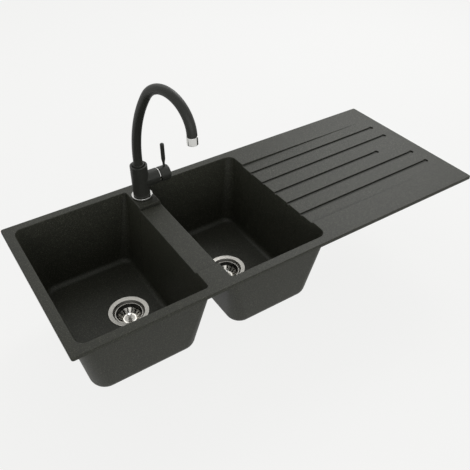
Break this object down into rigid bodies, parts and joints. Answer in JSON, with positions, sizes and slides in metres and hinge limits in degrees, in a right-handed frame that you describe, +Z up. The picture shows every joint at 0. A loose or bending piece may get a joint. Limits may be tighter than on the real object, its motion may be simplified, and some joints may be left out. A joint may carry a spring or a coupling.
{
  "type": "double bowl kitchen sink",
  "caption": "Inset composite sink with two bowls, a bridge, a grooved sloping drainer, basket strainer wastes and a single-lever swan-neck mixer tap.",
  "frame": {"origin": "centre of the worktop cut-out, in the plane of the worktop's top face, on which the rim rests", "axes": "+X along the sink towards the drainer, +Y to the rear, +Z up"},
  "size_m": [1.16, 0.48, 0.645],
  "materials": {
    "granite_composite": "fine-grained matt composite",
    "brushed_steel": "pressed and brushed stainless",
    "chrome": "polished chrome",
    "matt_black": "matt black coating on brass",
    "brass": "machined brass",
    "plain_steel": "plain stainless",
    "black_plastic": "moulded",
    "white_plastic": "moulded",
    "rubber": "moulded rubber"
  },
  "bodies": {
    "sink": {"sink_basin": "granite_composite", "left_waste_flange": "brushed_steel", "left_flange_gasket": "rubber", "left_clamp_gasket": "rubber", "left_waste_body": "black_plastic", "left_clamp_screw": "plain_steel", "right_waste_flange": "brushed_steel", "right_flange_gasket": "rubber", "right_clamp_gasket": "rubber", "right_waste_body": "black_plastic", "right_clamp_screw": "plain_steel", "tap_body": "matt_black", "base_gasket": "rubber", "base_ring": "chrome", "tap_shank": "brass", "shank_washer_rubber": "rubber", "shank_washer_steel": "plain_steel", "shank_nut": "brass", "spout_set_screw": "plain_steel", "cartridge_body": "white_plastic", "cartridge_ring": "chrome"},
    "left_strainer": {"left_basket": "brushed_steel", "left_basket_knob": "chrome", "left_basket_seal": "rubber"},
    "right_strainer": {"right_basket": "brushed_steel", "right_basket_knob": "chrome", "right_basket_seal": "rubber"},
    "spout": {"spout_bearing_ring": "white_plastic", "spout_collar": "matt_black", "spout_seal_lower": "rubber", "spout_seal_upper": "rubber", "spout_tube": "matt_black", "aerator_housing": "chrome", "aerator_seal": "rubber", "aerator_insert": "white_plastic"},
    "cartridge_spindle": {"cartridge_carrier": "white_plastic", "stem_pin": "plain_steel"},
    "handle": {"cartridge_stem": "brass", "handle_hub": "matt_black", "lever_rod": "matt_black", "handle_set_screw": "plain_steel", "handle_plug": "black_plastic"}
  },
  "joints": [
    {"name": "left_basket_lift", "type": "slide", "parent": "sink", "child": "left_strainer", "axis": [0, 0, 1], "range_m": [0, 0.26]},
    {"name": "right_basket_lift", "type": "slide", "parent": "sink", "child": "right_strainer", "axis": [0, 0, 1], "range_m": [0, 0.26]},
    {"name": "spout_swivel", "type": "hinge", "parent": "sink", "child": "spout", "pos_m": [-0.222, 0.177, 0.1], "axis": [0, 0, 1], "continuous": true},
    {"name": "handle_turn", "type": "hinge", "parent": "sink", "child": "cartridge_spindle", "pos_m": [-0.176, 0.177, 0.057], "axis": [1, 0, 0], "range_deg": [-45, 45]},
    {"name": "handle_tilt", "type": "hinge", "parent": "cartridge_spindle", "child": "handle", "pos_m": [-0.176, 0.177, 0.057], "axis": [0, 1, 0], "range_deg": [0, 20]}
  ]
}
